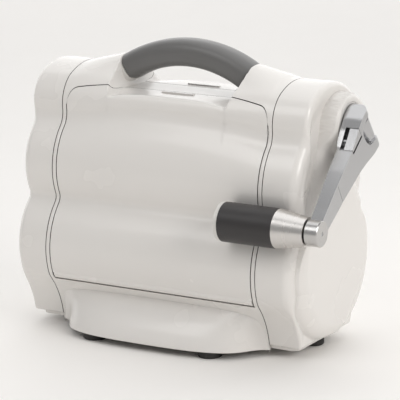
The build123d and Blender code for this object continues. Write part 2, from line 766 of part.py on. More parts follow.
with BuildPart() as crank_rotor:
    with BuildSketch(on_end(ROTOR_X - 7, HUB_Y, HUB_Z)):
        Circle(ROTOR_RADIUS)
    extrude(amount=7)
    with BuildSketch(side_plane.offset(ROTOR_X - 0.5 - FOLD_X)):
        with Locations((0, 1.0)):
            Rectangle(2 * BARREL_RADIUS, 24)
    extrude(amount=FOLD_X - ROTOR_X + 0.5)
    with BuildSketch(pin_plane.offset(-11.0)):
        Circle(BARREL_RADIUS)
    extrude(amount=24)
    with BuildSketch(pin_plane.offset(-12)):
        Circle(FOLD_PIN_RADIUS)
    extrude(amount=27, mode=Mode.SUBTRACT)
write(crank_rotor, "crank_rotor")

with BuildPart() as fold_pin:
    with BuildSketch(pin_plane.offset(-20)):
        Circle(FOLD_PIN_RADIUS)
    extrude(amount=42)
write(fold_pin, "fold_pin")

# --- Crank arm ----------------------------------------------------------------------------
with BuildPart() as crank_arm:
    with BuildSketch(side_plane.offset(-ARM_HALF)):
        with BuildLine():
            Polyline(
                (-ARM_HALF, -22),
                (9, -22),
                (21, -19.5),
                (40, -14.3),
                (ARM_LENGTH - 4, -9.4),
                (ARM_LENGTH - 4, 5.4),
                (80, 10.1),
                (41, 15.4),
                (26, 19.3),
                (10, 25),
                (0, 26.4),
                (-ARM_HALF, 25),
                (-ARM_HALF, 15.4),
                (4, 15.4),
                (13.5, 11),
                (16, 2),
                (16, -9),
                (12, -12.5),
                (-ARM_HALF, -12.5),
                close=True,
            )
        make_face()
        with Locations((ARM_LENGTH, 0)):
            Circle(EYE_RADIUS)
    extrude(amount=2 * ARM_HALF)
    with BuildSketch(pin_plane.offset(-30)):
        with BuildLine():
            Polyline(
                (0, -ARM_HALF),
                (ARM_LENGTH + 20, -ARM_HALF),
                (ARM_LENGTH + 20, 4.1),
                (ARM_LENGTH - 14, 3.4),
                (60, 5.8),
                (40, 6.6),
                (28, ARM_HALF),
                (0, ARM_HALF),
                close=True,
            )
        make_face()
        Circle(ARM_HALF)
    extrude(amount=70, mode=Mode.INTERSECT)
    with BuildSketch(pin_plane.offset(-20.1)):
        Circle(FOLD_PIN_RADIUS + RUN_FIT)
    extrude(amount=42.2, mode=Mode.SUBTRACT)
    with BuildSketch(side_plane.offset(-4)):
        with Locations((30, -17)):
            Rectangle(22, 12)
    extrude(amount=20, mode=Mode.SUBTRACT)
    with BuildSketch(side_plane.offset(-20)):
        with Locations((ARM_LENGTH, 0)):
            Circle(SPINDLE_RADIUS)
    extrude(amount=40, mode=Mode.SUBTRACT)
write(crank_arm, "crank_arm")

with BuildPart() as release_button:
    with BuildSketch(side_plane.offset(0.4)):
        with BuildLine():
            Polyline((19.4, -19.8), (40.6, -14.0), (40.6, -11.4), (19.4, -11.4), close=True)
        make_face()
    extrude(amount=ARM_HALF - 0.4)
write(release_button, "release_button")

with BuildPart() as button_spring:
    with BuildSketch(side_plane.offset(-3.6)):
        with Locations((30, -13.5)):
            Circle(1.5)
            Circle(0.9, mode=Mode.SUBTRACT)
    extrude(amount=3.6)
write(button_spring, "button_spring")

# --- Turning grip -------------------------------------------------------------------------
with BuildPart() as grip_spindle:
    with BuildSketch(on_end(GRIP_INNER_X + 2, EYE.Y, EYE.Z)):
        Circle(SPINDLE_RADIUS)
    extrude(amount=FOLD_X + ARM_HALF - 0.6 - GRIP_INNER_X - 2)
write(grip_spindle, "grip_spindle")

with BuildPart() as grip_cone:
    with BuildSketch(on_end(CONE_BIG_X, EYE.Y, EYE.Z)):
        Circle(GRIP_RADIUS)
    with BuildSketch(on_end(CONE_SMALL_X, EYE.Y, EYE.Z)):
        Circle(CONE_SMALL_RADIUS)
    loft()
    with BuildSketch(on_end(GRIP_INNER_X + 3, EYE.Y, EYE.Z)):
        Circle(12)
    extrude(amount=CONE_BIG_X - GRIP_INNER_X - 3)
    with BuildSketch(on_end(GRIP_INNER_X, EYE.Y, EYE.Z)):
        Circle(SPINDLE_RADIUS + RUN_FIT)
    extrude(amount=100, mode=Mode.SUBTRACT)
write(grip_cone, "grip_cone")

with BuildPart() as grip_sleeve:
    with BuildSketch(on_end(GRIP_INNER_X + 3, EYE.Y, EYE.Z)):
        Circle(GRIP_RADIUS)
        Circle(12, mode=Mode.SUBTRACT)
    extrude(amount=CONE_BIG_X - GRIP_INNER_X - 3)
write(grip_sleeve, "grip_sleeve")

with BuildPart() as grip_cap:
    with BuildSketch(on_end(GRIP_INNER_X - 1, EYE.Y, EYE.Z)):
        Circle(GRIP_RADIUS - 0.6)
    extrude(amount=2.6)
    with BuildSketch(on_end(GRIP_INNER_X + 1.6, EYE.Y, EYE.Z)):
        Circle(GRIP_RADIUS - 0.6)
        Circle(6, mode=Mode.SUBTRACT)
    extrude(amount=1.4)
write(grip_cap, "grip_cap")

# --- Screws that join the shells ------------------------------------------------------------
with BuildPart() as shell_screws:
    with BuildSketch(Plane.XY.offset(BASE_Z)):
        with Locations(*screw_places):
            Circle(3.5)
    extrude(amount=1.5)
    with BuildSketch(Plane.XY.offset(BASE_Z + 1.5)):
        with Locations(*screw_places):
            Circle(1.5)
    extrude(amount=BODY_BOTTOM - BASE_Z - 1.5)
write(shell_screws, "shell_screws")
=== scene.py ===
# %% [markdown]
# # A die cutting machine, built around its CAD frame
# The machine is a lobed white plastic body with a folding crank, a carry handle and two doors.
# The CAD model already says where everything is and how it moves, so it is loaded first.
# Every new piece is then a surface worked out with numpy, and it rides on one of the CAD bodies.

# %% Load the frame
import json
import math

import bmesh
import bpy
import numpy as np
from mathutils import Matrix, Vector


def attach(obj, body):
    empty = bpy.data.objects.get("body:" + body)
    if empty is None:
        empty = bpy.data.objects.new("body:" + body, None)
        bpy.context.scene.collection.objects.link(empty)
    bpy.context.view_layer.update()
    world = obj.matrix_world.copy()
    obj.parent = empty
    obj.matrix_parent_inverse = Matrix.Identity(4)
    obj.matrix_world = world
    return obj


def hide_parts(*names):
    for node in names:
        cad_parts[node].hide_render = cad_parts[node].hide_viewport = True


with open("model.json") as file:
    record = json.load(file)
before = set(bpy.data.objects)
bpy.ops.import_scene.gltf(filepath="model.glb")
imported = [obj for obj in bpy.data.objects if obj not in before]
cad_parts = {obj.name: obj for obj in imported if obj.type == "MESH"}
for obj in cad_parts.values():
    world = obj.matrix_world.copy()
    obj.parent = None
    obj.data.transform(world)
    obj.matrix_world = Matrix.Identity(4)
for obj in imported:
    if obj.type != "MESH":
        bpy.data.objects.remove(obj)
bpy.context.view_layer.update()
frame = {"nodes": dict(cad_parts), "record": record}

# %% [markdown]
# ## The camera
# A long lens a little over two metres away gives the gentle perspective of a product picture.
# The camera aims at the middle of the body, and a small shift places the machine in the frame.

# %% Camera
CAMERA_TURN = math.radians(29.34)
CAMERA_RISE = math.radians(12.57)
CAMERA_DISTANCE = 2.316
AIM_HEIGHT = 0.143

camera_data = bpy.data.cameras.new("camera")
camera = bpy.data.objects.new("camera", camera_data)
bpy.context.scene.collection.objects.link(camera)
camera_data.sensor_width = 36.0
camera_data.lens = 215.9
camera_data.shift_x = 0.0217
camera_data.shift_y = -0.0387
camera_data.clip_end = 50.0
camera.location = (
    CAMERA_DISTANCE * math.sin(CAMERA_TURN) * math.cos(CAMERA_RISE),
    -CAMERA_DISTANCE * math.cos(CAMERA_TURN) * math.cos(CAMERA_RISE),
    AIM_HEIGHT + CAMERA_DISTANCE * math.sin(CAMERA_RISE),
)
camera.rotation_euler = (math.pi / 2 - CAMERA_RISE, 0, CAMERA_TURN)
bpy.context.scene.camera = camera
print("camera at", [round(v, 3) for v in camera.location])

# %% [markdown]
# ## Tools for surfaces
# A surface here is a grid of points: rows along one parameter and columns along the other.
# Several grids can make one piece, because points that fall together are welded afterwards.
# Working in millimetres keeps the numbers readable, and the last step turns them into metres.

# %% Grids to meshes
MM = 0.001
WELD = 0.00002


def grid(x, y, z):
    """A grid of points, rows by columns by three, from three arrays that broadcast together."""
    return np.stack(np.broadcast_arrays(x, y, z), axis=-1).astype(float)


def quads(rows, columns, first):
    """Corner numbers of each cell of a grid whose points are stored row after row."""
    corner = first + np.arange(rows - 1)[:, None] * columns + np.arange(columns - 1)[None, :]
    return np.stack([corner, corner + 1, corner + columns + 1, corner + columns], -1).reshape(-1, 4)


def weld(mesh, inside=None):
    """Merges points that meet and turns the faces outwards.
    A closed mesh is turned by its volume, an open one so that its faces look away from a point."""
    work = bmesh.new()
    work.from_mesh(mesh)
    bmesh.ops.remove_doubles(work, verts=work.verts, dist=WELD)
    bmesh.ops.dissolve_degenerate(work, edges=work.edges, dist=WELD / 4)
    bmesh.ops.recalc_face_normals(work, faces=work.faces)
    if inside is None:
        outwards = work.calc_volume(signed=True)
    else:
        outwards = sum(
            face.normal.dot(face.calc_center_median() - inside) * face.calc_area()
            for face in work.faces
        )
    if outwards < 0:
        bmesh.ops.reverse_faces(work, faces=work.faces)
    work.to_mesh(mesh)
    work.free()


def settle(piece, sharp_angle, flat_faced=False):
    """Applies the piece's modifiers, then shades it smooth with sharp edges past an angle.
    On a flat-faced piece the large faces keep their own normals and only the bevels blend."""
    if piece.modifiers:
        graph = bpy.context.evaluated_depsgraph_get()
        finished = bpy.data.meshes.new_from_object(piece.evaluated_get(graph))
        piece.modifiers.clear()
        piece.data = finished
    piece.data.shade_smooth()
    piece.data.set_sharp_from_angle(angle=math.radians(sharp_angle))
    if flat_faced:
        even = piece.modifiers.new("flat_faces", "WEIGHTED_NORMAL")
        even.keep_sharp = True


def add_wall(piece, thickness):
    """Gives an open surface a wall, inwards from its outer face. The wall's cut edge gets the
    dark seam_shade material, a painted shade, because hardly any light gets down into a seam."""
    piece.data.materials.append(seam_shade)
    solid = piece.modifiers.new("wall", "SOLIDIFY")
    solid.thickness = thickness * MM
    solid.offset = -1
    solid.use_even_offset = False
    # The rim faces take the second slot: painted shade on every cut edge.
    solid.material_offset_rim = 1


def add_edge(piece, width, segments=2, angle=50):
    """Rounds every edge that is sharper than an angle."""
    edge = piece.modifiers.new("edge", "BEVEL")
    edge.width = width * MM
    edge.segments = segments
    edge.limit_method = "ANGLE"
    edge.angle_limit = math.radians(angle)
    edge.use_clamp_overlap = True


def in_metres(values):
    """A Blender vector in metres from three millimetre values."""
    return Vector(values) * MM


def new_piece(name, grids, body, finish, inside=None):
    """One mesh object from a list of grids in millimetres, welded and facing outwards."""
    points, faces, first = [], [], 0
    for surface in grids:
        rows, columns = surface.shape[:2]
        points.append(surface.reshape(-1, 3) * MM)
        faces.append(quads(rows, columns, first))
        first += rows * columns
    mesh = bpy.data.meshes.new(name)
    mesh.from_pydata(np.concatenate(points).tolist(), [], np.concatenate(faces).tolist())
    weld(mesh, None if inside is None else in_metres(inside))
    piece = bpy.data.objects.new(name, mesh)
    bpy.context.scene.collection.objects.link(piece)
    material, slot = finish
    mesh.materials.append(material)
    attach(piece, body)
    return piece


def done(piece, *nodes, sharp_angle=35, flat_faced=False):
    """Finishes a piece that stands for CAD nodes, and says how many faces it has."""
    settle(piece, sharp_angle, flat_faced)
    if nodes:
        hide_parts(*nodes)
    print(piece.name, "faces", len(piece.data.polygons))
    return piece


def cap(ring):
    """A grid that closes a ring of points with its centre."""
    return np.stack([ring, np.broadcast_to(ring.mean(axis=0), ring.shape)])


def tube(name, profile, count=64):
    """A closed mesh turned about Z from a profile of radius and height in millimetres."""
    profile = np.array(list(profile) + [profile[0]], float)
    turn = np.linspace(0, 2 * np.pi, count + 1)[None, :]
    radius, height = profile[:, :1], profile[:, 1:]
    points = grid(radius * np.cos(turn), radius * np.sin(turn), height)
    mesh = bpy.data.meshes.new(name)
    flat = points.reshape(-1, 3) * MM
    mesh.from_pydata(flat.tolist(), [], quads(len(profile), count + 1, 0).tolist())
    weld(mesh)
    piece = bpy.data.objects.new(name, mesh)
    bpy.context.scene.collection.objects.link(piece)
    return piece


def shift(x, y, z):
    """A move in millimetres, as a matrix."""
    return Matrix.Translation((x * MM, y * MM, z * MM))


def cut(piece, cutter, operation="DIFFERENCE"):
    """Cuts one mesh by another and throws the cutter away."""
    boolean = piece.modifiers.new("cut", "BOOLEAN")
    boolean.operation = operation
    boolean.solver = "EXACT"
    boolean.object = cutter
    graph = bpy.context.evaluated_depsgraph_get()
    finished = bpy.data.meshes.new_from_object(piece.evaluated_get(graph))
    piece.modifiers.clear()
    piece.data = finished
    bpy.data.objects.remove(cutter)


def prism(name, low, high):
    """A closed prism from two matching loops of points in millimetres."""
    count = len(low)
    ring = np.arange(count)
    beyond = np.roll(ring, -1)
    sides = np.stack([ring, beyond, beyond + count, ring + count], -1).tolist()
    mesh = bpy.data.meshes.new(name)
    points = (np.concatenate([low, high]) * MM).tolist()
    mesh.from_pydata(points, [], sides + [ring[::-1].tolist(), (ring + count).tolist()])
    weld(mesh)
    piece = bpy.data.objects.new(name, mesh)
    bpy.context.scene.collection.objects.link(piece)
    return piece


print("surface tools ready")

# %% [markdown]
# ## Finishes
# Real moulded plastic is never one flat colour. Its gloss wanders a little, and its skin has a
# faint orange peel. Cast metal has a finer, sharper grain, and soft-touch rubber a very fine one.
# All of these are the same idea at other scales, so one node group makes them: it takes object
# coordinates and gives out a varied colour, a varied roughness and a bumped normal.

# %% The grain group
def make_grain_group():
    """Noise at two scales: the large one drifts colour and gloss, the small one is the skin."""
    group = bpy.data.node_groups.new("surface_grain", "ShaderNodeTree")
    sockets = group.interface
    for name, kind, value in (
        ("Vector", "NodeSocketVector", None),
        ("Color", "NodeSocketColor", (0.8, 0.8, 0.8, 1)),
        ("Shade", "NodeSocketColor", (0.7, 0.7, 0.7, 1)),
        ("Drift Scale", "NodeSocketFloat", 12.0),
        ("Drift", "NodeSocketFloat", 0.3),
        ("Skin Scale", "NodeSocketFloat", 900.0),
        ("Low Roughness", "NodeSocketFloat", 0.3),
        ("High Roughness", "NodeSocketFloat", 0.4),
        ("Bump", "NodeSocketFloat", 0.1),
    ):
        socket = sockets.new_socket(name, in_out="INPUT", socket_type=kind)
        if value is not None:
            socket.default_value = value
    sockets.new_socket("Color", in_out="OUTPUT", socket_type="NodeSocketColor")
    sockets.new_socket("Roughness", in_out="OUTPUT", socket_type="NodeSocketFloat")
    sockets.new_socket("Normal", in_out="OUTPUT", socket_type="NodeSocketVector")
    nodes, link = group.nodes, group.links.new
    given = nodes.new("NodeGroupInput")
    made = nodes.new("NodeGroupOutput")
    drift = nodes.new("ShaderNodeTexNoise")
    drift.inputs["Detail"].default_value = 3.0
    link(given.outputs["Vector"], drift.inputs["Vector"])
    link(given.outputs["Drift Scale"], drift.inputs["Scale"])
    skin = nodes.new("ShaderNodeTexNoise")
    skin.inputs["Detail"].default_value = 2.0
    link(given.outputs["Vector"], skin.inputs["Vector"])
    link(given.outputs["Skin Scale"], skin.inputs["Scale"])
    amount = nodes.new("ShaderNodeMath")
    amount.operation = "MULTIPLY"
    link(drift.outputs["Fac"], amount.inputs[0])
    link(given.outputs["Drift"], amount.inputs[1])
    tone = nodes.new("ShaderNodeMix")
    tone.data_type = "RGBA"
    link(amount.outputs[0], tone.inputs["Factor"])
    link(given.outputs["Color"], tone.inputs["A"])
    link(given.outputs["Shade"], tone.inputs["B"])
    link(tone.outputs["Result"], made.inputs["Color"])
    gloss = nodes.new("ShaderNodeMapRange")
    link(drift.outputs["Fac"], gloss.inputs["Value"])
    gloss.inputs["From Min"].default_value = 0.15
    gloss.inputs["From Max"].default_value = 0.85
    link(given.outputs["Low Roughness"], gloss.inputs["To Min"])
    link(given.outputs["High Roughness"], gloss.inputs["To Max"])
    link(gloss.outputs["Result"], made.inputs["Roughness"])
    bump = nodes.new("ShaderNodeBump")
    bump.inputs["Distance"].default_value = 0.0002
    link(given.outputs["Bump"], bump.inputs["Strength"])
    link(skin.outputs["Fac"], bump.inputs["Height"])
    link(bump.outputs["Normal"], made.inputs["Normal"])
    return group


grain = make_grain_group()
print("grain group made")

# %% [markdown]
# ## One material for each finish
# A finish is the grain group with its own colour, gloss and scale, fed into a Principled shader.
# The frame's record says which finish each CAD part has, so the parts inside get theirs here too.

# %% Materials
def make_finish(name, color, shade, roughness, skin=900.0, bump=0.06, drift=0.35,
                metallic=0.0, coat=0.0, brushed=None):
    """A Principled material whose colour, gloss and normal come from the grain group.
    A brushed finish stretches the grain along one axis, as turning or grinding does."""
    material = bpy.data.materials.new(name)
    material.use_nodes = True
    nodes, link = material.node_tree.nodes, material.node_tree.links.new
    shader = nodes["Principled BSDF"]
    shader.inputs["Metallic"].default_value = metallic
    shader.inputs["Coat Weight"].default_value = coat
    shader.inputs["Coat Roughness"].default_value = 0.12
    place = nodes.new("ShaderNodeTexCoord")
    effect = nodes.new("ShaderNodeGroup")
    effect.node_tree = grain
    if brushed:
        stretch = nodes.new("ShaderNodeMapping")
        stretch.inputs["Scale"].default_value = brushed
        link(place.outputs["Object"], stretch.inputs["Vector"])
        link(stretch.outputs["Vector"], effect.inputs["Vector"])
    else:
        link(place.outputs["Object"], effect.inputs["Vector"])
    effect.inputs["Color"].default_value = (*color, 1)
    effect.inputs["Shade"].default_value = (*shade, 1)
    effect.inputs["Drift"].default_value = drift
    effect.inputs["Skin Scale"].default_value = skin
    effect.inputs["Low Roughness"].default_value = roughness[0]
    effect.inputs["High Roughness"].default_value = roughness[1]
    effect.inputs["Bump"].default_value = bump
    link(effect.outputs["Color"], shader.inputs["Base Color"])
    link(effect.outputs["Roughness"], shader.inputs["Roughness"])
    link(effect.outputs["Normal"], shader.inputs["Normal"])
    return material


body_white = make_finish("body_white", (0.80, 0.775, 0.745), (0.775, 0.745, 0.71),
                         (0.22, 0.30), skin=300, bump=0.0, coat=0.3, drift=0.25)
platform_white = make_finish("platform_white", (0.76, 0.75, 0.72), (0.71, 0.70, 0.67),
                             (0.45, 0.6), skin=1600, bump=0.25)
soft_touch = make_finish("soft_touch", (0.150, 0.148, 0.145), (0.12, 0.118, 0.116),
                         (0.26, 0.36), skin=2600, bump=0.22)
grip_rubber = make_finish("grip_rubber", (0.034, 0.031, 0.031), (0.024, 0.021, 0.021),
                          (0.36, 0.48), skin=2600, bump=0.22)
cast_metal = make_finish("cast_metal", (0.50, 0.50, 0.505), (0.42, 0.42, 0.43),
                         (0.16, 0.26), skin=1900, bump=0.08, metallic=1.0)
turned_metal = make_finish("turned_metal", (0.66, 0.64, 0.62), (0.57, 0.55, 0.53),
                           (0.24, 0.34), skin=700, bump=0.08, metallic=1.0, brushed=(9, 1, 1))
eye_metal = make_finish("eye_metal", (0.56, 0.55, 0.54), (0.46, 0.45, 0.445),
                        (0.22, 0.32), skin=800, bump=0.08, metallic=1.0, brushed=(9, 1, 1))
ground_steel = make_finish("ground_steel", (0.52, 0.53, 0.54), (0.43, 0.44, 0.45),
                           (0.25, 0.38), skin=900, bump=0.12, metallic=1.0, brushed=(1, 8, 8))
zinc_plate = make_finish("zinc_plate", (0.50, 0.51, 0.53), (0.40, 0.41, 0.42),
                         (0.35, 0.5), skin=400, bump=0.10, metallic=1.0)
bronze = make_finish("bronze", (0.55, 0.37, 0.17), (0.42, 0.27, 0.12),
                     (0.35, 0.5), skin=1500, bump=0.2, metallic=1.0)
foot_rubber = make_finish("foot_rubber", (0.020, 0.018, 0.017), (0.012, 0.011, 0.011),
                          (0.5, 0.65), skin=1800, bump=0.3)
cap_plastic = make_finish("cap_plastic", (0.72, 0.70, 0.67), (0.66, 0.64, 0.61),
                          (0.25, 0.35), skin=900, bump=0.05)
# Dark grey painted shade for the walls' cut edges, standing in for the shadow in the seams.
seam_shade = make_finish("seam_shade", (0.11, 0.105, 0.10), (0.08, 0.075, 0.07), (0.6, 0.7))
SHELL = (body_white, "shell_white")
FINISHES = {
    "shell_white": body_white,
    "platform_white": platform_white,
    "handle_rubber": soft_touch,
    "grip_rubber": grip_rubber,
    "crank_metal": cast_metal,
    "cone_metal": turned_metal,
    "steel": ground_steel,
    "zinc": zinc_plate,
    "bronze": bronze,
    "foot_rubber": foot_rubber,
    "cap_plastic": cap_plastic,
}
for subpart in frame["record"]["subparts"]:
    node = frame["nodes"][subpart["node"]]
    node.data.materials.clear()
    node.data.materials.append(FINISHES[subpart["material_slot"]])

# %% [markdown]
# ## The body's outline
# Seen from the end, the body is a stack of round lobes: a wide crest, a shoulder, a middle lobe
# and a lower lobe, then a hollow flare that spreads into the foot. Each lobe is a circle.
# A ray from the middle of the body leaves each circle at some distance. The outline is the
# largest of those distances, and a smooth maximum rounds the valleys between lobes.
# Drawing the outline inwards only changes the radii, so one function serves every edge rounding.

# %% Outline function
MIDDLE_Z = 125.0
BODY_TOP = 256.2
BODY_BOTTOM = 11.5
CREST_RADIUS = 73.8
CREST_HALF = 34.0
SHOULDER = (19.5, 220.1, 31.4)
NECK_HALF = 50.2
NECK_TOP = 220.0
MIDDLE_LOBE = (12.7, 160.2, 57.8)
LOWER_LOBE = (22.5, 83.3, 61.3)
FLARE_CENTER = (136.4, -6.0)
FLARE_RADIUS = 85.2
FLARE_HALF = 72.5
VALLEY = 9.0
NECK_BLEND = 0.8
FOOT_BLEND = 0.5
FLARE_BLEND = 1.5
FOOT_STARTS = -0.45
FAR = 1e4


def smooth_max(a, b, width):
    """The larger of two values, with a parabola of a given width where they cross."""
    near = np.maximum(width - np.abs(a - b), 0) / width
    return np.maximum(a, b) + near**2 * width / 4


def smooth_min(a, b, width):
    """The smaller of two values, rounded where they cross."""
    return -smooth_max(-a, -b, width)


def leave_circle(side, up, y, z, radius):
    """Distance at which a ray from the middle leaves a circle, or nought where it misses."""
    along = side * y + up * (z - MIDDLE_Z)
    square = along**2 - y**2 - (z - MIDDLE_Z) ** 2 + radius**2
    return np.where(square > 0, along + np.sqrt(np.maximum(square, 0)), 0.0)


def enter_circle(side, up, y, z, radius):
    """Distance at which a ray from the middle meets the hollow flare, or far away."""
    along = side * y + up * (z - MIDDLE_Z)
    square = along**2 - y**2 - (z - MIDDLE_Z) ** 2 + radius**2
    return np.where((square > 0) & (along > 0), along - np.sqrt(np.maximum(square, 0)), FAR)


def outline(turn, inset=0.0):
    """Y and Z of the body's outline. Turn is the ray's angle from straight up, towards the rear,
    and inset is how far the outline is drawn in."""
    turn, inset = np.broadcast_arrays(np.asarray(turn, float), np.asarray(inset, float))
    side = np.abs(np.sin(turn)) + 1e-9
    up = np.cos(turn)
    crest_radius = CREST_RADIUS - inset
    crest = leave_circle(side, up, 0.0, BODY_TOP - CREST_RADIUS, crest_radius)
    reach = np.minimum(crest, CREST_HALF * crest_radius / CREST_RADIUS / side)
    reach = np.maximum(reach, leave_circle(side, up, *SHOULDER[:2], SHOULDER[2] - inset))
    rising = np.maximum(up, 1e-6)
    neck = np.minimum((NECK_HALF - inset) / side, (NECK_TOP - MIDDLE_Z) / rising)
    reach = smooth_max(reach, np.where(up > 0, neck, 0), NECK_BLEND)
    reach = smooth_max(reach, leave_circle(side, up, *MIDDLE_LOBE[:2], MIDDLE_LOBE[2] - inset), VALLEY)
    reach = smooth_max(reach, leave_circle(side, up, *LOWER_LOBE[:2], LOWER_LOBE[2] - inset), VALLEY)
    falling = np.maximum(-up, 1e-6)
    floor = (MIDDLE_Z - BODY_BOTTOM - inset) / falling
    foot = np.where(up < FOOT_STARTS, np.minimum((FLARE_HALF - inset) / side, floor), 0)
    reach = smooth_max(reach, foot, FOOT_BLEND)
    hollow = enter_circle(side, up, *FLARE_CENTER, FLARE_RADIUS + inset)
    reach = smooth_min(reach, hollow, FLARE_BLEND)
    reach = smooth_min(reach, floor, FLARE_BLEND) if np.any(up < 0) else reach
    return reach * np.sin(turn), MIDDLE_Z + reach * up


dense = np.radians(np.linspace(0, 180, 6001))
dense_y, dense_z = outline(dense)
dense_length = np.concatenate([[0], np.cumsum(np.hypot(np.diff(dense_y), np.diff(dense_z)))])


def even_turns(start, end, count):
    """Ray angles between two angles, in degrees, that fall evenly along the outline."""
    lengths = np.interp(np.radians([start, end]), dense, dense_length)
    return np.interp(np.linspace(*lengths, count), dense_length, dense)


print("outline length", round(2 * dense_length[-1], 1), "mm, widest", round(dense_y.max(), 1))

# %% [markdown]
# ## The crest and the finger scoop
# The line between the top lobe and the one below it isn't straight: it arches up in the middle.
# Under the handle a scoop is cut right across the crest, with a floor that a hand can slide over.
# Beside the scoop, the crest rises into two fairings that carry the ends of the handle.
# All three are changes of height, so one function lifts or lowers the outline's points.

# %% Crest function
SEAM_X = 113.8
SEAM_GAP = 0.8
DOOR_HALF = 108.8
DOOR_GAP = 0.9
ARCH_HEIGHT = 9.0
ARCH_Z = 206.0
ARCH_SPREAD = 20.0
SCOOP_Z = 236.0
SCOOP_EDGE = 61.0
SCOOP_DIP = 4.2
SCOOP_RISE = 0.36
FAIRING_END = 113.0
FAIRING_TOP = 266.5
FAIRING_PEAK = 71.0
FAIRING_HALF = 22.0
FAIRING_SPREAD = 14.0
FAIRING_SIDE = (58, 66)
CREST_RISE = (225, 248)
DIP_BAND = (20, 46)
SCOOP_REACH = 200.0
SCOOP_BLEND = 3.5


def smooth_step(start, end, value):
    """Nought before start, one after end, and a smooth S between."""
    share = np.clip((value - start) / (end - start), 0, 1)
    return share**2 * (3 - 2 * share)


def shape_crest(x, y, z):
    """Height of the centre section: the outline's height plus the arch in its valley and the
    fairings, cut down to the scoop, whose sides are parabolas."""
    across = np.clip(1 - (x / DOOR_HALF) ** 2, 0, 1)
    height = z + ARCH_HEIGHT * across * np.exp(-(((z - ARCH_Z) / ARCH_SPREAD) ** 2))
    run = (FAIRING_END - np.abs(x)) / (FAIRING_END - FAIRING_PEAK)
    half = FAIRING_HALF + FAIRING_SPREAD * np.clip(1 - run, 0, 1)
    bulge = np.exp(-((np.abs(y) / half) ** 3.0))
    lift = (FAIRING_TOP - BODY_TOP) * np.clip(run, 0, 1.3) * smooth_step(0, 0.25, run)
    upper = smooth_step(*CREST_RISE, z)
    height = height + lift * bulge * upper * smooth_step(*FAIRING_SIDE, np.abs(x))
    dip = SCOOP_DIP * np.clip(np.abs(x) / SCOOP_EDGE, 0, 1) ** 3 * smooth_step(*DIP_BAND, np.abs(y))
    wall = SCOOP_RISE * np.maximum(np.abs(x) - SCOOP_EDGE, 0) ** 2
    scoop = SCOOP_Z - dip + wall
    return np.where(z > SCOOP_REACH, smooth_min(height, scoop, SCOOP_BLEND), height)


def section(x, turn):
    """Points of the centre section's skin where the plane at x meets a ray's turn."""
    y, z = outline(turn)
    x, y, z = np.broadcast_arrays(x, y, z)
    return grid(x, y, shape_crest(x, y, z))


print("scoop floor", SCOOP_Z, "fairing top", FAIRING_TOP)

# %% [markdown]
# ## Where the doors part from the body
# The seam at a door's top runs level along the crest, dips in over the scoop so that the finger
# slot lies in the door, and turns down through a rounded corner at each side.
# The seam is a ray angle for each x, so the door ends at it and the centre shell starts there.

# %% Seam function
SEAM_OUTER = 23.3
SEAM_ARCH = 4.9
SEAM_INNER = 7.72
CORNER = 10.0
CORNER_TURN = 0.52
GAP_TURN = 0.45
SCOOP_SIDE = (60.5, 66.5)


def seam_turn(x, gap=0.0):
    """Ray angle in degrees of a door's top seam at x. A gap widens the opening all round."""
    wide = np.abs(x)
    outer = SEAM_OUTER - SEAM_ARCH * (1 - np.clip(wide / DOOR_HALF, 0, 1) ** 2)
    level = SEAM_INNER + (outer - SEAM_INNER) * smooth_step(*SCOOP_SIDE, wide)
    over = np.clip(wide - (DOOR_HALF - CORNER), 0, CORNER)
    drop = CORNER - np.sqrt(np.maximum(CORNER**2 - over**2, 0))
    return level + CORNER_TURN * drop - GAP_TURN * gap


def seam_columns(gap):
    """X positions for a door or its opening, closer together where the scoop ends and in the
    corners, where they follow the sine of an even turn."""
    middle = np.linspace(0, 52, 15)
    side = np.linspace(53.5, 74, 23)
    plain = np.linspace(76.5, DOOR_HALF - CORNER, 9)
    corner = DOOR_HALF - CORNER + (CORNER + gap) * np.sin(np.radians(np.linspace(8, 90, 11)))
    half = np.concatenate([middle, side, plain, corner])
    return np.concatenate([-half[:0:-1], half])


door_columns = seam_columns(0.0)
opening_columns = seam_columns(DOOR_GAP)
print("columns", len(door_columns))

# %% [markdown]
# ## The centre shell and the doors
# The centre shell is a ring with two big windows in it, one for each door.
# Its rows follow the seam above a window, and run level down the narrow strips beside it.
# A cove is cut round each hinge axis, so that a door can turn down without touching the shell.

# %% Centre shell
LIP_TURN = 132.9
DOOR_TURN = 129.6
AXIS_Y = 73.5
AXIS_Z = 60.0
BEAD_RADIUS = 6.2
COVE_RADIUS = 7.4
SKIN = 3.0


def turns_between(start, end, share):
    """Ray angles that divide the outline evenly between two angles, at shares from 0 to 1."""
    first = np.interp(np.radians(np.abs(start)), dense, dense_length) * np.sign(start)
    last = np.interp(np.radians(np.abs(end)), dense, dense_length) * np.sign(end)
    length = first + (last - first) * share
    return np.sign(length) * np.interp(np.abs(length), dense_length, dense)


strip = np.array([DOOR_HALF + DOOR_GAP, 111.5, SEAM_X - SEAM_GAP / 2])
shell_columns = np.concatenate([-strip[:0:-1], opening_columns, strip[1:]])
top_seam = seam_turn(np.minimum(np.abs(shell_columns), DOOR_HALF + DOOR_GAP), DOOR_GAP)[None, :]
across = np.linspace(-1, 1, 121)[:, None]
crest_turns = turns_between(0 * top_seam, top_seam * np.sign(across), abs(across))
shell_grids = [section(shell_columns[None, :], crest_turns)]
corner_turn = float(top_seam[0, 0])
down = np.linspace(0, 1, 150)[:, None]
for side in (-1, 1):
    for end in (-1, 1):
        turns = side * turns_between(corner_turn, LIP_TURN, down)
        shell_grids.append(section(end * strip[None, :], turns))
under = np.linspace(0, 1, 60)[:, None]
for side in (-1, 1):
    turns = side * turns_between(LIP_TURN, 179.9, under)
    shell_grids.append(section(shell_columns[None, :], turns))
shell = new_piece("centre_shell", shell_grids, "base", SHELL, (0, 0, 130))
add_wall(shell, SKIN)
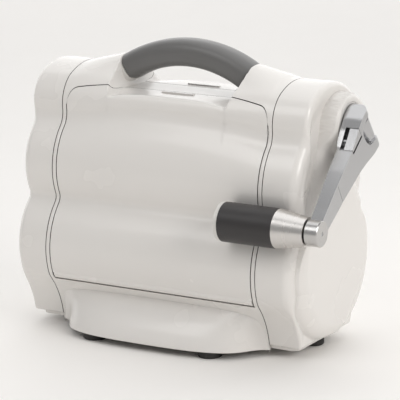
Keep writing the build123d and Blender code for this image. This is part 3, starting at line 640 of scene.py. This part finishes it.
for side in (-1, 1):
    around = np.radians(np.linspace(0, 355, 72))
    ring_y = side * AXIS_Y + COVE_RADIUS * np.cos(around)
    ring_z = AXIS_Z + COVE_RADIUS * np.sin(around)
    reach = DOOR_HALF + DOOR_GAP
    cut(shell, prism("cove", grid(-reach, ring_y, ring_z), grid(reach, ring_y, ring_z)))
add_edge(shell, 0.5)
done(shell, "center_shell")

# %% [markdown]
# ## The two doors
# A door is one sheet of the body's outline with a wall behind it, so it closes flush by itself.
# A slot for the latch is cut through its top flange, and a round bead hides the hinge pin.

# %% Doors
SLOT_RADIUS = 4.4
SLOT_HALF = 18.0
SLOT_Y = 27.0
SLOT_BOTTOM = 228.0
SLOT_TOP = 240.0
BEAD_HALF = 108.0
BEAD_CHAMFER = 0.5


def make_door(side, name, body):
    """A door's lobed skin, its hinge bead and the finger slot in its top flange."""
    seam = seam_turn(door_columns)[None, :]
    rows = np.linspace(0, 1, 170)[:, None]
    skin = section(door_columns[None, :], side * turns_between(seam, DOOR_TURN, rows))
    door = new_piece(name + "_skin", [skin], body, SHELL, (0, 0, 130))
    add_wall(door, SKIN)
    slot = [(0.01, SLOT_BOTTOM), (SLOT_RADIUS, SLOT_BOTTOM), (SLOT_RADIUS, SLOT_TOP), (0.01, SLOT_TOP)]
    cutter = tube(name + "_cutter", slot, 32)
    cutter.data.transform(Matrix.Diagonal((SLOT_HALF / SLOT_RADIUS, 1, 1, 1)))
    cutter.data.transform(shift(0, side * SLOT_Y, 0))
    cut(door, cutter)
    add_edge(door, 0.7, 3)
    done(door, name + "_panel")
    around = np.linspace(0, 2 * np.pi, 41)[None, :]
    inner, small = BEAD_HALF - BEAD_CHAMFER, BEAD_RADIUS - BEAD_CHAMFER
    along = np.array([-BEAD_HALF, -inner, inner, BEAD_HALF])[:, None]
    radius = np.array([small, BEAD_RADIUS, BEAD_RADIUS, small])[:, None]
    bead = grid(along, side * AXIS_Y + radius * np.cos(around), AXIS_Z + radius * np.sin(around))
    bead = new_piece(name + "_bead", [bead, cap(bead[0]), cap(bead[-1])], body, SHELL)
    done(bead)


make_door(-1, "front_door", "front_door")
make_door(1, "rear_door", "rear_door")

# %% [markdown]
# ## The ends
# An end wraps the outline round an edge radius and then runs in over the end face.
# The right end carries a pear-shaped dome that holds the gear train, and a boss for the hub.
# Height over the face is the largest of three shapes: the lobed face, the dome and the boss foot.

# %% End shells
RIGHT_END = {"edge": 150.0, "sink": 4.0, "foot_set_in": 3.0, "rounding": 10.0}
LEFT_END = {"edge": 148.5, "sink": -1.5, "foot_set_in": 1.0, "rounding": 9.0}
TOP_ROUNDING = 4.5
FOOT_ROUNDING = 2.5
DOME_TOP = 157.8
DOME_LOW = (0.0, 88.0, 78.0)
DOME_WAIST = (4.0, 130.0, 45.0)
HUB_Y = 14.0
HUB_Z = 214.0
DOME_HEAD = 31.0
DOME_SHOULDER = 18.0
DOME_DEPTH = 13.0
DOME_BLEND = 18.0
BOSS_RADIUS = 29.0
BOSS_X = 163.0
BOSS_SLOPE = 1.375
BOSS_TOP = 162.5


def dome_depth(y, z):
    """How far inside the pear a point lies: a big disc joined to a capsule that narrows."""
    disc = DOME_LOW[2] - np.hypot(y - DOME_LOW[0], z - DOME_LOW[1])
    run_y, run_z = HUB_Y - DOME_WAIST[0], HUB_Z - DOME_WAIST[1]
    length = run_y**2 + run_z**2
    share = ((y - DOME_WAIST[0]) * run_y + (z - DOME_WAIST[1]) * run_z) / length
    share = np.clip(share, 0, 1)
    away = np.hypot(y - DOME_WAIST[0] - share * run_y, z - DOME_WAIST[1] - share * run_z)
    capsule = DOME_WAIST[2] + (DOME_HEAD - DOME_WAIST[2]) * share - away
    return smooth_max(disc, capsule, DOME_BLEND)


def end_height(y, z, edge, inside, domed):
    """X of the end face: the lobed face sinks a little, then the dome and hub foot rise."""
    end = RIGHT_END if domed else LEFT_END
    edge = end["edge"] + (edge - end["edge"]) * (1 - smooth_step(0, 26, inside))
    face = edge - end["sink"] * smooth_step(0, 22, inside)
    if not domed:
        return face
    depth = np.clip(dome_depth(y, z) / DOME_SHOULDER, 0, 1)
    dome = DOME_TOP - DOME_DEPTH * (1 - np.sqrt(np.maximum(1 - (1 - depth) ** 2, 0)))
    foot = BOSS_X - BOSS_SLOPE * np.maximum(np.hypot(y - HUB_Y, z - HUB_Z) - BOSS_RADIUS, 0)
    dome = smooth_max(dome, np.minimum(foot, BOSS_TOP), 3.0)
    return smooth_max(face, np.where(depth > 0, dome, 0), 0.8)


def make_end(side, name, domed):
    """One end shell as a single grid: side wall, rounded edge, then the face to its middle."""
    half_turn = even_turns(0, 180, 236)
    turn = np.concatenate([-half_turn[:0:-1], half_turn])[None, :]
    y, z = outline(turn)
    low = 1 - smooth_step(44, 62, z)
    end = RIGHT_END if domed else LEFT_END
    edge = end["edge"] - end["foot_set_in"] * low
    high = smooth_step(196, 228, z)
    radius = end["rounding"] * (1 - low) * (1 - high) + TOP_ROUNDING * high + FOOT_ROUNDING * low
    start = SEAM_X + SEAM_GAP / 2
    rows_x, rows_y, rows_z = [], [], []
    for share in np.linspace(0, 1, 5)[:-1]:
        rows_x.append(start + (edge - radius - start) * share)
        rows_y.append(y)
        rows_z.append(z)
    for swing in np.radians(np.linspace(0, 90, 9)):
        inset_y, inset_z = outline(turn, radius * (1 - np.cos(swing)))
        rows_x.append(edge - radius * (1 - np.sin(swing)))
        rows_y.append(inset_y)
        rows_z.append(inset_z)
    last_y, last_z = rows_y[-1], rows_z[-1]
    reach = np.hypot(last_y, last_z - MIDDLE_Z)
    for share in np.concatenate([np.linspace(0.99, 0.35, 62), np.linspace(0.34, 0.0, 12)]):
        y_in, z_in = last_y * share, MIDDLE_Z + (last_z - MIDDLE_Z) * share
        rows_x.append(end_height(y_in, z_in, edge, reach * (1 - share), domed))
        rows_y.append(y_in)
        rows_z.append(z_in)
    x, y, z = (np.concatenate([np.broadcast_to(row, turn.shape) for row in rows])
               for rows in (rows_x, rows_y, rows_z))
    inside = (side * 60, 0, 125)
    piece = new_piece(name + "_skin", [grid(side * x, y, z)], "base", SHELL, inside)
    add_wall(piece, SKIN)
    return done(piece, name, sharp_angle=50)


make_end(1, "right_end_shell", True)
make_end(-1, "left_end_shell", False)


# %% [markdown]
# ## The hub ring
# A raised ring on the boss surrounds the hub. It is turned about the crank's own axis, so it is a
# profile of X and radius carried once round.

# %% Hub ring
def turned_on_x(name, profile, y, z, body, finish, nodes=(), count=72, angle=35):
    """A piece turned about an X axis at y and z, from a closed profile of x and radius."""
    profile = np.array(list(profile) + [profile[0]], float)
    turn = np.linspace(0, 2 * np.pi, count + 1)[None, :]
    x, radius = profile[:, :1], profile[:, 1:]
    surface = grid(x, y + radius * np.cos(turn), z + radius * np.sin(turn))
    return done(new_piece(name, [surface], body, finish), *nodes, sharp_angle=angle)


turned_on_x("hub_ring", [(157, 22.4), (162.6, 22.4), (163.5, 23.2), (163.5, 28.6), (162.6, 29.5),
                         (157, 29.5)], HUB_Y, HUB_Z, "base", SHELL, angle=60)

# %% [markdown]
# ## The skirts
# Under each door a hollow skirt spreads out and hides the front feet.
# Its plan is a squarish bow and its profile leans out to a soft lower edge.

# %% Skirts
SKIRT_Y = (62, 65, 67.5, 70.5, 77, 84, 90, 94.5, 96, 95.2, 91)
SKIRT_Z = (49, 47.2, 45.2, 42.5, 37.5, 31, 23, 14, 8.4, 7.0, 6.7)
SKIRT_ROOT = 50.0
SKIRT_HALF = 92.0
SKIRT_SPREAD = 6.5
SKIRT_TOP = 49.0
SKIRT_DROP = 42.0
SKIRT_FLARE = 15.0
FLARE_FADE = 6.5
SQUARENESS = 2 / 3


def smooth_line(values, steps):
    """A smooth curve through values at 0, 1, 2 and so on, by Catmull and Rom's rule."""
    values = np.array([2 * values[0] - values[1], *values, 2 * values[-1] - values[-2]], float)
    first = np.minimum(np.floor(steps).astype(int), len(values) - 4)
    t = steps - first
    a, b, c, d = (values[first + k] for k in range(4))
    return 0.5 * (2 * b + (c - a) * t + (2 * a - 5 * b + 4 * c - d) * t**2
                  + (3 * b - a - 3 * c + d) * t**3)


def make_skirt(side, name):
    """A skirt's skin: a superellipse in plan, scaled by the profile's depth at each height. Beside
    the body it spreads by a flare that fades with the distance from the body's own flare."""
    steps = np.linspace(0, len(SKIRT_Y) - 1, 60)
    profile_y = smooth_line(SKIRT_Y, steps)[:, None]
    profile_z = smooth_line(SKIRT_Z, steps)[:, None]
    swing = np.radians(np.linspace(-90, 90, 145))[None, :]
    swing = swing + 0.22 * np.sin(2 * swing)
    half = SKIRT_HALF + SKIRT_SPREAD * (SKIRT_TOP - profile_z) / SKIRT_DROP
    y = SKIRT_ROOT + (profile_y - SKIRT_ROOT) * np.abs(np.cos(swing)) ** SQUARENESS
    body_y = FLARE_CENTER[0] - np.sqrt(FLARE_RADIUS**2 - (profile_z - FLARE_CENTER[1]) ** 2)
    flare = SKIRT_FLARE * np.exp(-np.maximum(y - body_y, 0) / FLARE_FADE)
    sideways = np.sin(swing)
    x = (half * np.abs(sideways) ** SQUARENESS + flare) * np.sign(sideways) * np.minimum(
        np.abs(sideways) / 0.05, 1)
    skin = grid(x, side * y, profile_z)
    piece = new_piece(name + "_skin", [skin], "base", SHELL, (0, side * 50, 20))
    add_wall(piece, 2.4)
    done(piece, name, sharp_angle=60)


make_skirt(-1, "front_skirt")
make_skirt(1, "rear_skirt")

# %% [markdown]
# ## The carry handle
# The handle is an arch. Its grip is dark soft-touch rubber, flatter below than above.
# White posts run from the grip's ends down into the fairings beside the scoop.

# %% Handle
HANDLE_Z = 150.0
HANDLE_RADIUS = 122.5
HANDLE_THICK = 13.3
HANDLE_DEEP = 16.5
GRIP_END = 32.2
POST_START = 32.6
POST_END = 60
COLLAR_SPAN = (32.5, 33.7)


def arch(start, end, count, swell, squash):
    """A sweep about the handle's centre. The section is a squarish oval whose under side is
    flatter than its top, and swell scales it along the sweep."""
    angles = np.radians(np.linspace(start, end, count))[:, None]
    turn = np.linspace(0, 2 * np.pi, 97)[None, :]
    rise = np.sin(turn)
    power = np.where(rise > 0, 0.86, squash)
    scale = swell(np.linspace(0, 1, count))[:, None]
    radial = HANDLE_RADIUS + HANDLE_THICK * scale * np.sign(rise) * np.abs(rise) ** power
    depth = HANDLE_DEEP * scale * np.sign(np.cos(turn)) * np.abs(np.cos(turn)) ** 0.72
    return grid(radial * np.sin(angles), depth + 0 * angles, HANDLE_Z + radial * np.cos(angles))


def plump_ends(share):
    """A scale that rounds the last millimetre or two at each end."""
    near = np.minimum(share, 1 - share) / 0.02
    return 1 - 0.06 * np.maximum(1 - near, 0) ** 2


grip = arch(-GRIP_END, GRIP_END, 161, plump_ends, 0.55)
grip_grids = [grip, cap(grip[0]), cap(grip[-1])]
piece = new_piece("handle_grip_skin", grip_grids, "base", (soft_touch, "handle_rubber"))
done(piece, "handle_grip", sharp_angle=40)
posts = []
for side in (-1, 1):
    post = arch(side * POST_START, side * POST_END, 50, lambda share: 0.93 + 0 * share, 0.62)
    posts += [post, cap(post[0]), cap(post[-1])]
piece = new_piece("handle_posts", posts, "base", SHELL)
done(piece, "handle_core", "handle_collars", sharp_angle=40)
for side in (-1, 1):
    start, end = COLLAR_SPAN
    collar = arch(side * start, side * end, 5, lambda share: 0.96 + 0 * share, 0.6)
    piece = new_piece("collar_left" if side < 0 else "collar_right",
                      [collar, cap(collar[0]), cap(collar[-1])], "base", (cap_plastic, "cap_plastic"))
    done(piece, sharp_angle=40)

# %% [markdown]
# ## The crank arm
# The arm is a flat casting that forks round the hub's barrel, and ends in an eye for the grip.
# Its shape is what two prisms share: its outline seen along X, and its thickness seen from the
# side. Distances are measured down the arm from the hub, and across it.

# %% Crank arm
ARM_TURN = math.radians(51.7)
FOLD_X = 174.75
ARM_OUTER = 184.0
ARM_HALF = 9.25
EYE_DOWN = 128.7
POCKET_FLOOR = 171.0
GROOVE_FLOOR = 183.6
ARM_OUTLINE = (
    (-10, -22), (9, -22), (21.3, -20), (39.9, -14.1), (65.4, -12.8), (106, -9.9), (124, -8.8),
    (124, 6.0), (79.7, 10.1), (40.9, 15.4), (27.2, 18.9), (10.3, 24.6), (-1.9, 26.2), (-7.4, 23.1),
    (-6.2, 15.7), (1.5, 14.8), (12, 11.4), (15.9, 1.1), (15.9, -8.9), (10.5, -14.2), (-10, -14.9),
)
ARM_SIDE = ((15, 165.5), (34, 166.4), (41, 168.4), (65, 169.0), (114, 171.5), (130, 172.0),
            (130, 183.7), (0, ARM_OUTER))


def hub_point(down, across, x):
    """A point given by its distance down the arm and across it from the hub."""
    y = HUB_Y - down * math.sin(ARM_TURN) + across * math.cos(ARM_TURN)
    z = HUB_Z - down * math.cos(ARM_TURN) - across * math.sin(ARM_TURN)
    return grid(x, y, z)


def round_corners(corners, radius, count=7):
    """A closed outline whose corners are replaced by short parabolas."""
    corners = np.array(corners, float)
    before, after = np.roll(corners, 1, axis=0) - corners, np.roll(corners, -1, axis=0) - corners
    rounded = []
    for corner, back, ahead in zip(corners, before, after):
        back_length, ahead_length = np.hypot(*back), np.hypot(*ahead)
        start = corner + back * min(radius / back_length, 0.48)
        end = corner + ahead * min(radius / ahead_length, 0.48)
        t = np.linspace(0, 1, count)[:, None]
        rounded.append((1 - t) ** 2 * start + 2 * t * (1 - t) * corner + t**2 * end)
    return np.concatenate(rounded)


def arm_prism(name, loop, low, high):
    """A prism between two X planes, from a loop of distances down the arm and across it."""
    return prism(name, hub_point(loop[:, 0], loop[:, 1], low), hub_point(loop[:, 0], loop[:, 1], high))


def make_arm():
    """The arm's casting, with the pocket for the release button and a fine groove."""
    arm = arm_prism("crank_casting", round_corners(ARM_OUTLINE, 2.6), 150.0, 200.0)
    nose = np.radians(np.linspace(90, 270, 25))
    nose_down, nose_x = ARM_HALF * np.cos(nose), FOLD_X + ARM_HALF * np.sin(nose)
    down = np.concatenate([nose_down, [point[0] for point in ARM_SIDE]])
    x = np.concatenate([nose_x, [point[1] for point in ARM_SIDE]])
    side = prism("arm_side", hub_point(down, -40.0, x), hub_point(down, 40.0, x))
    cut(arm, side, "INTERSECT")
    pocket = round_corners(((19, -30), (41, -30), (41, -9), (19, -9)), 1.0)
    cut(arm, arm_prism("pocket", pocket, POCKET_FLOOR, 190.0))
    groove = np.array([(79.2, -20), (80.0, -20), (84.0, 20), (83.2, 20)])
    cut(arm, arm_prism("groove", groove, GROOVE_FLOOR, 190.0))
    arm.data.materials.clear()
    arm.data.materials.append(cast_metal)
    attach(arm, "arm")
    add_edge(arm, 0.9, 3, 30)
    done(arm, "crank_arm", sharp_angle=60, flat_faced=True)


make_arm()
EYE = hub_point(EYE_DOWN, 0.0, 0.0)
turned_on_x("crank_eye", [(170.6, 0.01), (170.6, 11.5), (171.4, 12.3), (183.2, 12.3), (184.0, 11.5),
                          (184.0, 2.0), (183.3, 1.7), (183.3, 0.01)], EYE[1], EYE[2], "arm",
            (eye_metal, "crank_metal"), angle=30)

# %% [markdown]
# ## The stage
# A pale floor and soft light from large lamps, as in a product picture.

# %% Light and floor
BACKDROP_AWAY = 2.9


def add_sheet(name, corners, finish):
    """A flat four-cornered sheet with one material."""
    mesh = bpy.data.meshes.new(name)
    mesh.from_pydata(corners, [], [(0, 1, 2, 3)])
    mesh.materials.append(finish)
    sheet = bpy.data.objects.new(name, mesh)
    bpy.context.scene.collection.objects.link(sheet)
    return sheet


def add_lamp(name, size, power, place, color=(1, 1, 1)):
    """A square area lamp that faces the machine."""
    lamp = bpy.data.lights.new(name, "AREA")
    lamp.size = size
    lamp.energy = power
    lamp.color = color
    holder = bpy.data.objects.new(name, lamp)
    bpy.context.scene.collection.objects.link(holder)
    holder.location = place
    holder.rotation_euler = (Vector(place) - Vector((0, 0, 0.12))).to_track_quat("Z", "Y").to_euler()


add_lamp("key", 1.0, 6, (-0.6, -1.5, 1.7))
add_lamp("side", 1.0, 16, (1.9, -0.6, 1.2), (1.0, 0.985, 0.965))
add_lamp("top", 1.6, 8, (0.1, 0.1, 1.9))

floor_paper = make_finish("floor_paper", (0.93, 0.91, 0.885), (0.91, 0.89, 0.865), (0.6, 0.7))
floor = add_sheet("floor", [(-9, -9, 0), (9, -9, 0), (9, 9, 0), (-9, 9, 0)], floor_paper)
paper = bpy.data.materials.new("backdrop_paper")
paper.use_nodes = True
paper_shader = paper.node_tree.nodes["Principled BSDF"]
paper_shader.inputs["Base Color"].default_value = (0.9, 0.9, 0.9, 1)
paper_shader.inputs["Emission Color"].default_value = (1, 1, 1, 1)
paper_shader.inputs["Emission Strength"].default_value = 0.8
backdrop = add_sheet("backdrop", [(-7, 0, -0.1), (7, 0, -0.1), (7, 0, 6), (-7, 0, 6)], paper)
backdrop.location = (-BACKDROP_AWAY * math.sin(CAMERA_TURN), BACKDROP_AWAY * math.cos(CAMERA_TURN), 0)
backdrop.rotation_euler = (0, 0, CAMERA_TURN)
world = bpy.data.worlds.new("studio")
world.use_nodes = True
world.node_tree.nodes["Background"].inputs["Color"].default_value = (1, 1, 1, 1)
world.node_tree.nodes["Background"].inputs["Strength"].default_value = 0.4
bpy.context.scene.world = world
bpy.context.scene.view_settings.view_transform = "Standard"
print("stage ready")

# %% [markdown]
# ## The size
# The new pieces stay within a small allowance of the CAD model's box. Only the bowed skirts
# reach past it.

# %% Size
print("scene built")
